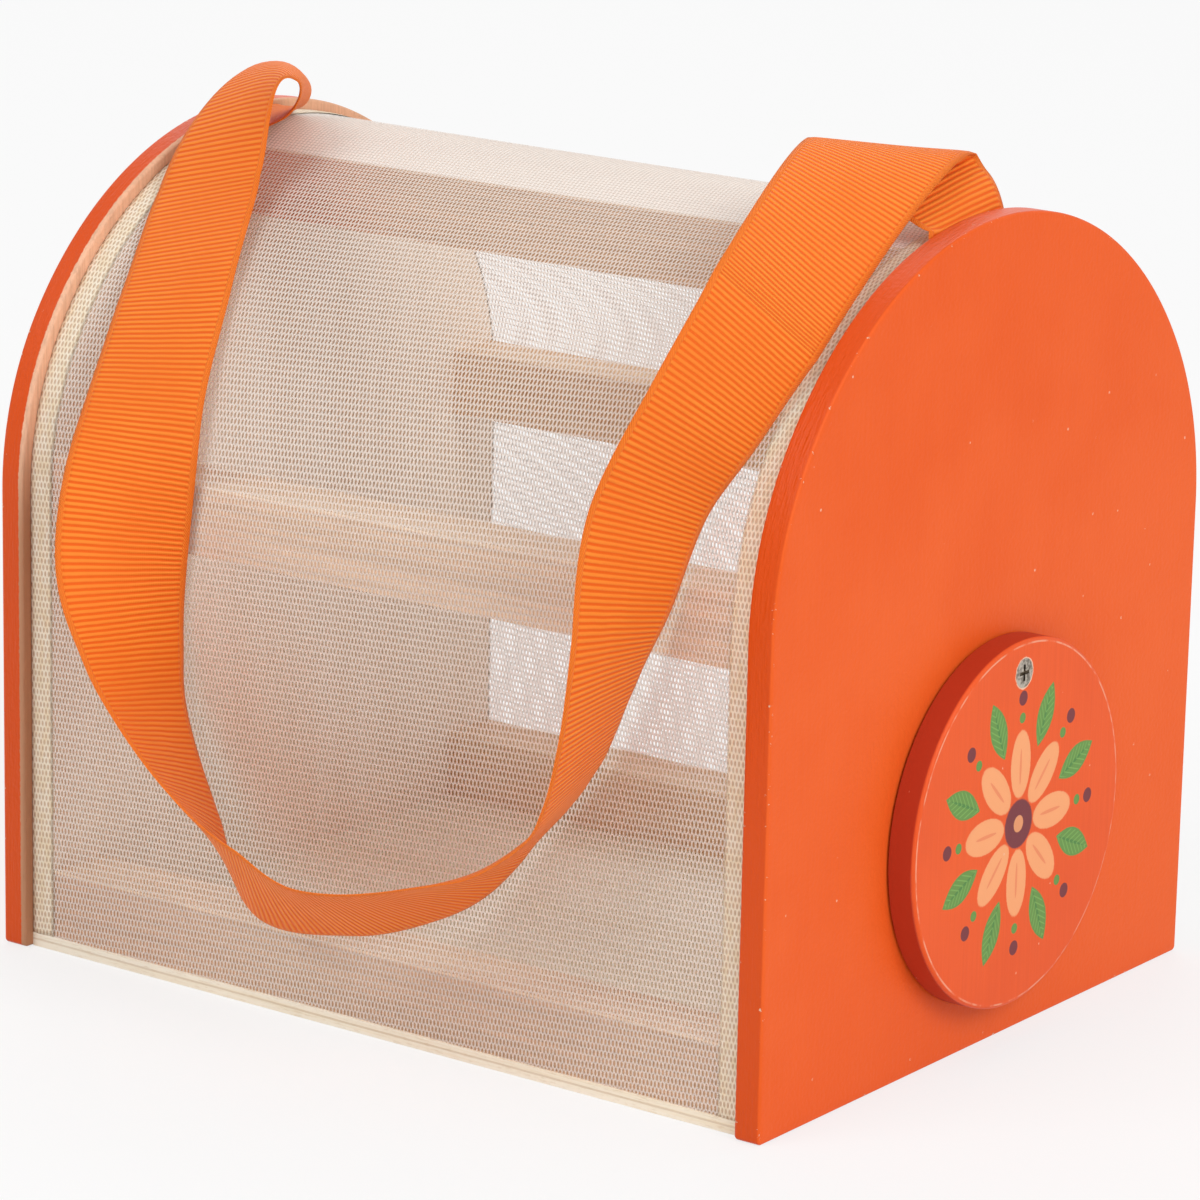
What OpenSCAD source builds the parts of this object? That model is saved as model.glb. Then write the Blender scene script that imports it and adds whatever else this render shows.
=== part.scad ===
// Bug carrier: a small wooden cage with arched ends, a net wrapped over its frame,
// a ribbon handle and a round door that swings on one screw.
// Millimetres. +Z is up, X runs along the length, the door is on the +X end and
// the ribbon hangs at the front, -Y. The origin is the centre of the base, on the ground.

/* [Body] */
// Overall length over the two end panels
body_length = 180; // [160:1:220]
// Depth of the end panels
body_d = 144; // [130:1:164]
// Height of the end panels at the crown
body_h = 158; // [150:1:175]
// Rise of the arch over the straight sides as a share of half the depth
rise_share = 0.93; // [0.85:0.01:0.97]
// Radius of the arch's shoulders as a share of the arch's rise
shoulder_share = 0.91; // [0.85:0.01:0.95]
// Thickness of the painted end panels
panel_t = 5.5; // [4:0.1:8]
// Rounding of the end panels' bottom corners
corner_r = 2; // [1:0.1:4]
// Thickness of the floor board
floor_t = 2.7; // [2:0.1:4]

/* [Frame] */
// Thickness of the inner arch plates
plate_t = 5; // [4:0.1:8]
// How far the plates stand inside the outline of the end panels
plate_inset = 2.7; // [2.4:0.1:4]
// Side of the square rails
rail_s = 13.5; // [12:0.5:16]
// How far the middle rails reach down past the start of the arch
middle_rail_drop = 5.5; // [2:0.5:14]
// Width of the flat top rail
top_rail_w = 36; // [28:1:44]
// Length of the nails
nail_l = 14; // [10:0.5:14.5]
// Radius of a nail's shank
nail_r = 0.8; // [0.5:0.05:1]
// Radius of a nail's head
nail_head_r = 1.7; // [1.4:0.1:2.4]
// Thickness of a nail's head
nail_head_t = 0.8; // [0.5:0.1:1.2]

/* [Net] */
// Thickness of the net
net_t = 0.5; // [0.4:0.05:0.8]
// Width of the hem tape along each end of the net
hem_w = 6; // [4:0.5:9]
// Thickness of the hem tape
hem_t = 0.5; // [0.4:0.05:0.8]

/* [Ribbon] */
// Width of the handle ribbon
ribbon_w = 25; // [22:0.5:26]
// Thickness of the handle ribbon
ribbon_t = 0.8; // [0.6:0.05:1]
// Radius of the open roll in which the ribbon turns at the left end
left_roll_r = 3.4; // [2.8:0.1:3.8]
// Radius of the soft fold in which it turns at the right end
right_fold_r = 1.4; // [1.2:0.1:2]
// Sideways place of the left tail's middle
left_tail_y = -9; // [-11:0.5:-6]
// Sideways place of the right tail's middle
right_tail_y = -5; // [-9:0.5:-3]
// Length of ribbon held between plate and end panel
tail_l = 9; // [7:0.5:9.5]

/* [Door] */
// Radius of the round door
door_r = 35.2; // [33:0.1:37]
// Thickness of the round door
door_t = 5.5; // [4:0.1:6.5]
// Rounding of the door's front edge
door_round = 0.8; // [0.4:0.1:1.5]
// Distance from the pivot screw down to the door's centre
pivot_drop = 29; // [28.5:0.1:30]
// Height of the pivot screw above the ground
pivot_z = 72.9; // [70:0.1:76]
// Sideways place of the pivot screw
pivot_y = 1.5; // [-3:0.1:3]
// Radius of the entry hole that the door covers
entry_r = 22.5; // [16:0.5:22.5]
// Radius of the pivot screw's shank
screw_r = 1.5; // [1.2:0.05:1.8]
// Radius of the pivot screw's head
screw_head_r = 2.8; // [2.5:0.1:3.4]
// Length of the pivot screw
screw_l = 16; // [13:0.5:16]
// Radius of the washer behind the door
washer_r = 4; // [3.4:0.1:5]
// Thickness of the washer behind the door
washer_t = 0.5; // [0.4:0.1:0.8]

/* [Hidden] */
// Overrun of a cut past the face that it opens
cut = 1;
// Clearance of a nail or screw in its hole, all round
hole_gap = 0.05;
// Clearance between the loose ribbon and what it lies on
soft_gap = 0.3;
// Play of a ribbon tail in its slot
slot_gap = 0.1;
// Gap between the still and the moving part of the ribbon
split_gap = 0.3;
// Cross recess in the screw's head
recess_d = 1.1;
recess_w = 0.7;
recess_l = 3.2;
// Staple that holds a ribbon tail: radius of its wire, width and legs
staple_r = 0.3;
staple_w = 12;
staple_leg = 4;
// Length of the point at the end of a nail or a screw
point_l = 2;
// Faces of a full round
$fn = 96;

// Half sizes and the arch's circles: two shoulders and one wide crown, tangent to each other
half_l = body_length/2;
half_d = body_d/2;
inner_l = half_l - panel_t;
plate_x = inner_l - plate_t;
rise = rise_share*half_d;
side_h = body_h - rise;
shoulder_r = shoulder_share*rise;
shoulder_y = half_d - shoulder_r;
crown_r = (pow(shoulder_y, 2) + pow(rise, 2) - pow(shoulder_r, 2))/(2*(rise - shoulder_r));
crown_z = body_h - crown_r;
crown_turn = atan2(shoulder_y, side_h - crown_z);
// Insets of the net's and the hem tape's outer faces from the panels' outline
net_out = plate_inset - net_t;
hem_out = net_out - hem_t;
// Rails
rail_y = half_d - plate_inset - rail_s/2;
middle_rail_z = side_h - middle_rail_drop;
top_rail_z = crown_z + sqrt(pow(crown_r - plate_inset, 2) - pow(top_rail_w/2, 2)) - rail_s;
// Door
door_x = half_l + washer_t;
door_z = pivot_z - pivot_drop;
screw_head_h = screw_head_r - screw_r;

// Outline of an end, moved inwards by inset, cut off below base, its low corners rounded
module arch(inset, base, corner = 0) {
    half = half_d - inset;
    reach = 1.2*crown_r/norm([shoulder_y, side_h - crown_z]);
    edge = [reach*shoulder_y, crown_z + reach*(side_h - crown_z)];
    translate([-half, base + corner]) square([2*half, side_h - base - corner]);
    for (s = [-1, 1]) translate([s*shoulder_y, side_h]) circle(shoulder_r - inset);
    intersection() {
        translate([0, crown_z]) circle(crown_r - inset);
        polygon([[0, crown_z], edge, [edge[0], body_h], [-edge[0], body_h], [-edge[0], edge[1]]]);
    }
    if (corner > 0) {
        translate([corner - half, base]) square([2*(half - corner), 2*corner]);
        for (s = [-1, 1]) translate([s*(half - corner), base + corner]) circle(corner);
    }
}

// Turns an outline drawn as (y, z) into a board that starts at x and is t thick
module board(x, t) {
    translate([x, 0, 0]) rotate([90, 0, 90]) linear_extrude(t) children();
}

// A band that follows the arch between two insets and stands on the floor board
module arch_band(outer, inner) {
    difference() {
        arch(outer, floor_t);
        arch(inner, floor_t - cut);
    }
}

// Entry hole with the pivot screw's hole above it, starting at x, over the length l
module door_holes(x, l) {
    translate([x, pivot_y, door_z]) rotate([0, 90, 0]) cylinder(h = l, r = entry_r);
    translate([x, pivot_y, pivot_z]) rotate([0, 90, 0]) cylinder(h = l, r = screw_r + hole_gap);
}

// Nail pointing up, its head's flat face at the origin; with a gap and an overrun it cuts its own hole
module nail(gap = 0, over = 0) {
    translate([0, 0, -over]) cylinder(h = nail_head_t + gap + over, r = nail_head_r + gap);
    cylinder(h = nail_l - point_l, r = nail_r + gap);
    translate([0, 0, nail_l - point_l])
        cylinder(h = point_l + gap, r1 = nail_r + gap, r2 = nail_r/4 + gap);
}

// Places (y, z) where a nail goes through a plate into the end of a rail; those of the top rail
// are low in it, under the ribbon's tail
nail_places = [
    for (s = [-1, 1]) [s*rail_y, floor_t + rail_s/2],
    for (s = [-1, 1]) [s*rail_y, middle_rail_z + rail_s/2],
    for (s = [-1, 1]) [s*top_rail_w/4, top_rail_z + rail_s/4]];

// All nails of one end; side is -1 for the left end and 1 for the right
module frame_nails(side, gap = 0, over = 0) {
    for (p = nail_places)
        translate([side*inner_l, p[0], p[1]]) rotate([0, -90*side, 0]) nail(gap, over);
}

// Nails from below through the floor board into the bottom rails
module bottom_nails(gap = 0, over = 0) {
    spread_share = 0.6;
    for (x = [-1, 0, 1], y = [-1, 1])
        translate([x*spread_share*plate_x, y*rail_y, 0]) nail(gap, over);
}

// Slot at the crown in which a ribbon tail and its staple lie
module tail_slot(side) {
    depth = ribbon_t + 2*slot_gap + 2*staple_r;
    y = side < 0 ? left_tail_y : right_tail_y;
    translate([side*(inner_l - depth/2), y, body_h])
        cube([depth, ribbon_w + 2*slot_gap, 2*(plate_inset + tail_l + slot_gap)], center = true);
}

// Staple across a ribbon tail, its legs driven into the plate
module staple(side, gap = 0) {
    y = side < 0 ? left_tail_y : right_tail_y;
    translate([side*(inner_l - staple_r), y, body_h - plate_inset - tail_l/2]) {
        for (s = [-1, 1]) translate([0, s*staple_w/2, 0])
            rotate([0, -90*side, 0]) cylinder(h = staple_leg + gap, r = staple_r + gap);
        rotate([90, 0, 0]) cylinder(h = staple_w, r = staple_r + gap, center = true);
    }
}

// End panels, painted
module left_end_panel() {
    color("orangered") board(-half_l, panel_t) arch(0, 0, corner_r);
}

module right_end_panel() {
    color("orangered") difference() {
        board(inner_l, panel_t) arch(0, 0, corner_r);
        door_holes(inner_l - cut, panel_t + 2*cut);
    }
}

// Inner arch plates, over whose edges the net is stretched
module inner_plate(side) {
    difference() {
        board(side < 0 ? -inner_l : plate_x, plate_t) arch(plate_inset, floor_t);
        frame_nails(side, hole_gap, cut);
        tail_slot(side);
        staple(side, hole_gap);
        if (side > 0) door_holes(plate_x - cut, plate_t + 2*cut);
    }
}

module left_inner_plate() {
    color("burlywood") inner_plate(-1);
}

module right_inner_plate() {
    color("burlywood") inner_plate(1);
}

module floor_board() {
    color("wheat") difference() {
        translate([-inner_l, net_out - half_d, 0]) cube([2*inner_l, 2*(half_d - net_out), floor_t]);
        bottom_nails(hole_gap, cut);
    }
}

// A rail between the plates, its middle at y and its underside at z, trimmed by the arch
module rail(y, z, w) {
    difference() {
        board(-plate_x, 2*plate_x) intersection() {
            translate([y - w/2, z]) square([w, rail_s]);
            arch(plate_inset, 0);
        }
        for (side = [-1, 1]) frame_nails(side, hole_gap);
        bottom_nails(hole_gap);
    }
}

module front_bottom_rail() {
    color("tan") rail(-rail_y, floor_t, rail_s);
}

module back_bottom_rail() {
    color("tan") rail(rail_y, floor_t, rail_s);
}

module front_middle_rail() {
    color("tan") rail(-rail_y, middle_rail_z, rail_s);
}

module back_middle_rail() {
    color("tan") rail(rail_y, middle_rail_z, rail_s);
}

module top_rail() {
    color("tan") rail(0, top_rail_z, top_rail_w);
}

module left_frame_nails() {
    color("silver") frame_nails(-1);
}

module right_frame_nails() {
    color("silver") frame_nails(1);
}

module floor_nails() {
    color("silver") bottom_nails();
}

// The net, one sheet wrapped over plates and rails from the floor's front edge to its back edge
module net_screen() {
    color("linen") difference() {
        board(-inner_l, 2*inner_l) arch_band(net_out, plate_inset);
        for (side = [-1, 1]) tail_slot(side);
    }
}

// Tape that hems the net over an inner plate
module hem_tape(side) {
    difference() {
        board(side < 0 ? -inner_l : inner_l - hem_w, hem_w) arch_band(hem_out, net_out);
        tail_slot(side);
    }
}

module left_hem_tape() {
    color("cornsilk") hem_tape(-1);
}

module right_hem_tape() {
    color("cornsilk") hem_tape(1);
}

// Solid of a ribbon from a grid of points in its middle layer: rows run along the ribbon,
// and each row goes across it. Both faces lie half a thickness away, along the grid's normals.
module ribbon_solid(grid) {
    rows = len(grid);
    n = len(grid[0]);
    size = rows*n;
    points = [for (s = [1, -1], i = [0:rows - 1], j = [0:n - 1])
        grid[i][j] + s*ribbon_t/2*normal_at(grid, i, j)];
    front = [for (i = [0:rows - 2], j = [0:n - 2])
        let (a = i*n + j) each [[a, a + 1, a + n + 1], [a, a + n + 1, a + n]]];
    back = [for (f = front) [f[0] + size, f[2] + size, f[1] + size]];
    rim = concat([for (j = [0:n - 1]) j], [for (i = [1:rows - 1]) i*n + n - 1],
        [for (j = [n - 2:-1:0]) size - n + j], [for (i = [rows - 2:-1:1]) i*n]);
    wall = [for (k = [0:len(rim) - 1])
        let (a = rim[k], b = rim[(k + 1) % len(rim)])
        each [[b, a, a + size], [b, a + size, b + size]]];
    polyhedron(points, concat(front, back, wall), convexity = 8);
}

// Unit vector, and the normal of a grid at one of its points
function unit(v) = v/norm(v);
function normal_at(g, i, j) = unit(cross(
    g[min(i + 1, len(g) - 1)][j] - g[max(i - 1, 0)][j],
    g[i][min(j + 1, len(g[0]) - 1)] - g[i][max(j - 1, 0)]));

// The ribbon's two ends: side, middle of the tail, radius and angle of the diagonal fold,
// how far from the tail the fold begins, and the rise and slope of the sheet that leads to it
fold_run = 3*ribbon_t;
rise_run = 3*ribbon_t;
left_end = [-1, left_tail_y, left_roll_r, 39, fold_run, left_roll_r/7, 0.36];
right_end = [1, right_tail_y, right_fold_r, 41, fold_run, 6*right_fold_r, 0.17];
// Radius of the bend in which the ribbon comes down after its fold
droop_r = 2.4*ribbon_w;
tail_x = inner_l - slot_gap - ribbon_t/2;

// Place of the ribbon's middle layer at an end: x runs along it from the tail and v across it,
// from the far edge. Up to a slanting line it is a level sheet; past the line it winds half a
// turn round a roll and comes back above itself, heading for the front.
function folded(e, x, v) = let (
    past = (x - e[4])*cos(e[3]) - v*sin(e[3]),
    along = (x - e[4])*sin(e[3]) + v*cos(e[3]),
    turn = min(max(past/e[2], 0), PI),
    rest = max(past - PI*e[2], 0),
    out = past < 0 ? past : e[2]*sin(turn*180/PI) + turn*e[2] - past,
    run = e[4] + along*sin(e[3]) + out*cos(e[3]),
    y = e[1] + ribbon_w/2 - along*cos(e[3]) + out*sin(e[3]),
    lift = e[5]*(1 - exp(-run/rise_run)) + e[6]*run + e[2]*(1 - cos(turn*180/PI)))
    [e[0]*(tail_x - run), y, crown_height(y) + lift - pow(rest, 2)/(2*droop_r)];

// Height of the ribbon's middle layer where it lies on the hem tape
function crown_height(y) =
    crown_z + sqrt(pow(crown_r - hem_out, 2) - pow(y, 2)) + soft_gap + ribbon_t/2;

// Length from the tail to the end of the fold's near edge
function fold_end(e) = e[4] + ribbon_w*tan(e[3]) + PI*e[2]/cos(e[3]) + ribbon_t;

// Rows of an end piece: up the slot, over the sheet, round the fold and on to its end
sheet_rows = 10;
fold_rows = 12;
end_rows = 4;
end_columns = 6;
slot_rows = 3;
function end_grid(e) = let (low = body_h - plate_inset - tail_l) [
    for (i = [0:slot_rows - 1]) [for (j = [0:end_columns])
        let (p = folded(e, 0, ribbon_w*j/end_columns))
        [p[0], p[1], low + (p[2] - low)*i/slot_rows]],
    for (i = [0:sheet_rows - 1]) [for (j = [0:end_columns])
        let (v = ribbon_w*j/end_columns)
        folded(e, pow(i/sheet_rows, 1.5)*(e[4] + v*tan(e[3])), v)],
    for (i = [0:fold_rows - 1]) [for (j = [0:end_columns])
        let (v = ribbon_w*j/end_columns)
        folded(e, e[4] + v*tan(e[3]) + PI*e[2]/cos(e[3])*i/fold_rows, v)],
    for (i = [0:end_rows]) [for (j = [0:end_columns])
        let (v = ribbon_w*j/end_columns, start = e[4] + v*tan(e[3]) + PI*e[2]/cos(e[3]))
        folded(e, start + (fold_end(e) - start)*i/end_rows, v)]];

module left_ribbon_tail() {
    color("darkorange") ribbon_solid(end_grid(left_end));
}

module right_ribbon_tail() {
    color("darkorange") ribbon_solid(end_grid(right_end));
}

module left_ribbon_staple() {
    color("silver") staple(-1);
}

module right_ribbon_staple() {
    color("silver") staple(1);
}

// The hanging strap from left to right, each row: place along the length (1 is the right end),
// way down the net (0 crown, 1 where the straight sides begin, 2 the ground), extra distance
// from the net in widths of the ribbon, and the direction across it: along, down, outwards.
// It turns over once, in the fold at the lower left.
strap_shares = [
    [-0.735, 0.29, 0.15, [0.94, 0.00, 0.35]],
    [-0.69, 0.43, 0.06, [0.97, -0.17, 0.14]],
    [-0.64, 0.63, 0.03, [0.99, -0.14, -0.04]],
    [-0.62, 0.80, 0.05, [0.98, -0.09, -0.16]],
    [-0.60, 0.92, 0.04, [0.93, -0.06, -0.35]],
    [-0.58, 1.04, 0.01, [0.72, 0.08, -0.69]],
    [-0.555, 1.14, 0.01, [0.46, 0.16, -0.88]],
    [-0.51, 1.25, 0.02, [0.13, 0.24, -0.96]],
    [-0.44, 1.39, 0.10, [-0.08, 0.33, -0.94]],
    [-0.31, 1.53, 0.24, [-0.21, 0.52, -0.83]],
    [-0.15, 1.64, 0.44, [-0.27, 0.71, -0.66]],
    [0.03, 1.675, 0.28, [-0.16, 0.57, -0.80]],
    [0.23, 1.625, 0.15, [0.00, 0.38, -0.92]],
    [0.42, 1.53, 0.28, [-0.14, 0.27, -0.95]],
    [0.555, 1.42, 0.14, [-0.42, 0.27, -0.86]],
    [0.595, 1.31, 0.02, [-0.36, 0.28, -0.89]],
    [0.655, 1.15, 0.01, [-0.18, 0.29, -0.94]],
    [0.715, 0.97, 0.01, [0.05, 0.25, -0.97]],
    [0.76, 0.79, 0.01, [0.37, 0.04, -0.93]],
    [0.80, 0.66, 0.04, [0.42, 0.03, -0.91]],
    [0.82, 0.54, 0.05, [0.55, -0.03, -0.84]],
    [0.825, 0.41, 0.10, [0.86, -0.06, -0.50]],
    [0.80, 0.30, 0.18, [0.93, -0.12, -0.33]]];

// Point at a place along the length, a way down the net and a distance from it
function on_net(x, down, gap) = let (
    turn = min(90*down, 90),
    on_crown = turn < crown_turn,
    r = (on_crown ? crown_r : shoulder_r) - net_out + gap)
    [x, (on_crown ? 0 : -shoulder_y) - r*sin(turn),
        (on_crown ? crown_z : side_h) + r*cos(turn) - max(down - 1, 0)*side_h];

// Direction given as along, down the net and away from it, turned into the model's axes
function off_net(down, d) = let (turn = min(90*down, 90))
    [d[0], -d[1]*cos(turn) - d[2]*sin(turn), d[2]*cos(turn) - d[1]*sin(turn)];

// Both ends of the strap, where it meets the folds, as pairs of edge points from left to right
strap_start = [for (v = [0, ribbon_w]) folded(left_end, fold_end(left_end) + split_gap, v)];
strap_end = [for (v = [ribbon_w, 0]) folded(right_end, fold_end(right_end) + split_gap, v)];

// Middles of the strap's rows and the directions across them
strap_middles = [
    (strap_start[0] + strap_start[1])/2,
    for (s = strap_shares) on_net(s[0]*half_l, s[1],
        soft_gap + ribbon_t + ribbon_w*(s[2] + abs(unit(s[3])[2])/2)),
    (strap_end[0] + strap_end[1])/2];
strap_widths = [
    unit(strap_start[1] - strap_start[0]),
    for (s = strap_shares) off_net(s[1], unit(s[3])),
    unit(strap_end[1] - strap_end[0])];

// Smooth curve through the rows of a list, t from 0 at row i to 1 at the next row
function row_of(list, i) = let (last = len(list) - 1)
    i < 0 ? 2*list[0] - list[1] : i > last ? 2*list[last] - list[last - 1] : list[i];
function curve(list, i, t) = let (
    a = row_of(list, i - 1), b = row_of(list, i), c = row_of(list, i + 1), d = row_of(list, i + 2))
    (2*b + (c - a)*t + (2*a - 5*b + 4*c - d)*pow(t, 2) + (3*b - a - 3*c + d)*pow(t, 3))/2;

// Rows between two rows of the table, and columns across the strap
steps = 3;
strap_columns = 4;
last_row = len(strap_middles) - 1;
middles = [for (i = [0:last_row - 1], k = [0:steps - 1]) curve(strap_middles, i, k/steps),
    strap_middles[last_row]];
widths = [for (i = [0:last_row - 1], k = [0:steps - 1]) curve(strap_widths, i, k/steps),
    strap_widths[last_row]];

// Direction across the strap at one of its rows, made square to the run except at the ends
function squared(i) = i == 0 || i == len(middles) - 1 ? unit(widths[i]) :
    let (run = unit(middles[i + 1] - middles[i - 1])) unit(widths[i] - (widths[i]*run)*run);

module handle_ribbon() {
    color("darkorange") ribbon_solid([for (i = [0:len(middles) - 1])
        [for (j = [0:strap_columns]) middles[i] + (j/strap_columns - 0.5)*ribbon_w*squared(i)]]);
}

// Cone of the screw's head, its wide end at the origin; with an overrun it cuts the door
module head_cone(gap = 0, over = 0) {
    translate([0, 0, -screw_head_h])
        cylinder(h = screw_head_h, r1 = screw_r + gap, r2 = screw_head_r + gap);
    cylinder(h = over, r = screw_head_r + gap);
}

// The round door, hung on its screw so that it falls shut
module door_disc() {
    color("orangered") translate([door_x, pivot_y, door_z]) rotate([0, 90, 0]) difference() {
        rotate_extrude() union() {
            square([door_r, door_t - door_round]);
            square([door_r - door_round, door_t]);
            translate([door_r - door_round, door_t - door_round]) circle(door_round);
        }
        translate([-pivot_drop, 0, -cut]) cylinder(h = door_t + 2*cut, r = screw_r + hole_gap);
        translate([-pivot_drop, 0, door_t]) head_cone(hole_gap, cut);
    }
}

module door_washer() {
    color("white") translate([half_l, pivot_y, pivot_z]) rotate([0, 90, 0]) difference() {
        cylinder(h = washer_t, r = washer_r);
        translate([0, 0, -cut]) cylinder(h = washer_t + 2*cut, r = screw_r + hole_gap);
    }
}

// The pivot screw, its head level with the door's face
module door_screw() {
    color("silver") translate([door_x + door_t, pivot_y, pivot_z]) rotate([0, 90, 0]) difference() {
        union() {
            head_cone();
            translate([0, 0, point_l - screw_l]) cylinder(h = screw_l - point_l, r = screw_r);
            translate([0, 0, -screw_l]) cylinder(h = point_l, r1 = screw_r/4, r2 = screw_r);
        }
        for (a = [0, 90]) rotate(a)
            translate([-recess_l/2, -recess_w/2, -recess_d]) cube([recess_l, recess_w, recess_d + cut]);
    }
}

left_end_panel();
right_end_panel();
left_inner_plate();
right_inner_plate();
floor_board();
front_bottom_rail();
back_bottom_rail();
front_middle_rail();
back_middle_rail();
top_rail();
left_frame_nails();
right_frame_nails();
floor_nails();
net_screen();
left_hem_tape();
right_hem_tape();
left_ribbon_tail();
right_ribbon_tail();
left_ribbon_staple();
right_ribbon_staple();
handle_ribbon();
door_disc();
door_washer();
door_screw();
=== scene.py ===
# %% [markdown]
# This lesson dresses a small wooden bug carrier: two arched end boards painted orange, a fine net
# stretched over an inner frame, a ribbed ribbon to carry it by and a round door on one screw.

import bpy
import numpy as np
from mathutils import Matrix, Vector


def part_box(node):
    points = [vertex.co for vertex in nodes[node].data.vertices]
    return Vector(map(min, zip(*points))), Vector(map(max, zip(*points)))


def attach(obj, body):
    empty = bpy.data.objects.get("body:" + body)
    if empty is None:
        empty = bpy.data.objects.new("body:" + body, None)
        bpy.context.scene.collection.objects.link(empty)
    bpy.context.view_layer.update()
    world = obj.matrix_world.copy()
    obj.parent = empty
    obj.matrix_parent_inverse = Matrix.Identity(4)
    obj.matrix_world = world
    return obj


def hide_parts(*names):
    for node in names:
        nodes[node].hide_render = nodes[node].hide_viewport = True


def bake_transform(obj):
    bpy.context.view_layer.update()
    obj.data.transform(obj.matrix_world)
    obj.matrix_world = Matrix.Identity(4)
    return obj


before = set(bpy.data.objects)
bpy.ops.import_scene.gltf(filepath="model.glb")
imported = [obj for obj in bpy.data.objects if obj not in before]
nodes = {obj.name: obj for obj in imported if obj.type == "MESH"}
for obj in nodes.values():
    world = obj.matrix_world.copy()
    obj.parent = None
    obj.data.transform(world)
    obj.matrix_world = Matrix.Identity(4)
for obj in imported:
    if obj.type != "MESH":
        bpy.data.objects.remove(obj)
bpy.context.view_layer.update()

# %% [markdown]
# The drawing is in millimetres and Blender works in metres. The main sizes are repeated here, so
# that each surface can be worked out from the same few numbers as the solid it belongs to.

# %% Sizes in millimetres
MM = 0.001
half_length = 90.0
half_depth = 72.0
height = 158.0
panel = 5.5
corner = 1.0
inset = 2.7
net_thick = 0.5
ribbon_wide = 25.0
ribbon_thick = 0.8
inner_face = half_length - panel
floor_top = 2.7
rise = 0.93 * half_depth
side_high = height - rise
shoulder = 0.91 * rise
shoulder_y = half_depth - shoulder
crown = (shoulder_y ** 2 + rise ** 2 - shoulder ** 2) / (2 * (rise - shoulder))
crown_z = height - crown
meeting = np.arctan2(shoulder_y, side_high - crown_z)
print(f"crown radius {crown:.2f} mm, shoulder radius {shoulder:.2f} mm")

# %% [markdown]
# A photograph fixes one camera: where it stood, how it was turned and how long its lens was. The
# angles here were fitted to the outlines of the boards. The camera is made first, because every
# later choice is judged through it.

# %% Camera
turn, tilt, roll = np.radians([36.103, 14.907, 1.181])
back = np.array([np.sin(turn) * np.cos(tilt), -np.cos(turn) * np.cos(tilt), np.sin(tilt)])
level = np.array([np.cos(turn), np.sin(turn), 0.0])
upright = np.cross(back, level)
right = np.cos(roll) * level + np.sin(roll) * upright
up = np.cos(roll) * upright - np.sin(roll) * level
eye = (1.480 * right + 68.018 * up + 1112.1 * back) * MM
camera = bpy.data.objects.new("camera", bpy.data.cameras.new("camera"))
bpy.context.scene.collection.objects.link(camera)
pose = np.eye(4)
pose[:3] = np.column_stack([right, up, back, eye])
camera.matrix_world = Matrix(pose.tolist())
camera.data.sensor_width = 36.0
camera.data.lens = 169.56
camera.data.clip_start, camera.data.clip_end = 0.05, 50.0
bpy.context.scene.camera = camera
print("camera at", np.round(eye, 4).tolist())

# %% [markdown]
# A material is a small network of nodes. Written out link by link it is hard to read, so a value in the network is
# wrapped in a class that understands + - * / ** and %, and each expression adds the Math nodes it needs. Numbers alone
# are worked out before they get there.

# %% Shader values as expressions
class Value:
    """One output of a node, which can be used in sums as if it were a number."""

    def __init__(self, finish, socket):
        self.finish, self.socket = finish, socket

    def math(self, operation, *others, first=None):
        """A Math node of that operation on this value and the others."""
        values = [self, *others] if first is None else [first, self]
        return self.finish.node("ShaderNodeMath", {"operation": operation}, dict(enumerate(values)))

    def __add__(self, other): return self.math("ADD", other)
    def __radd__(self, other): return self.math("ADD", other)
    def __sub__(self, other): return self.math("SUBTRACT", other)
    def __rsub__(self, other): return self.math("SUBTRACT", first=other)
    def __mul__(self, other): return self.math("MULTIPLY", other)
    def __rmul__(self, other): return self.math("MULTIPLY", other)
    def __truediv__(self, other): return self.math("DIVIDE", other)
    def __rtruediv__(self, other): return self.math("DIVIDE", first=other)
    def __pow__(self, other): return self.math("POWER", other)
    def __mod__(self, other): return self.math("FLOORED_MODULO", other)
    def __neg__(self): return self.math("MULTIPLY", -1.0)
    def __abs__(self): return self.math("ABSOLUTE")

    def low(self, other): return self.math("MINIMUM", other)
    def high(self, other): return self.math("MAXIMUM", other)
    def sine(self): return self.math("SINE")
    def cosine(self): return self.math("COSINE")
    def root(self): return self.math("SQRT")
    def floor(self): return self.math("FLOOR")

    def step(self, start, end):
        """0 below start, 1 past end, and an even curve between them; start may be the larger."""
        if start > end:
            return 1.0 - self.step(end, start)
        return self.finish.node("ShaderNodeMapRange", {"interpolation_type": "SMOOTHSTEP"},
            {"Value": self, "From Min": start, "From Max": end}, "Result")

# %% [markdown]
# A finish is a material with one shader. Its `node` method makes any node: settings come first,
# because some of them change which sockets there are, then the values or links. Colours are
# written as a paint chart gives them and turned into light once, in Python.

# %% Finishes
def tone(red, green, blue):
    """A colour from 0 to 255 a channel, turned into the linear light that shaders add up."""
    share = np.array([red, green, blue]) / 255
    light = np.where(share <= 0.04045, share / 12.92, ((share + 0.055) / 1.055) ** 2.4)
    return (*light.tolist(), 1.0)


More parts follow.
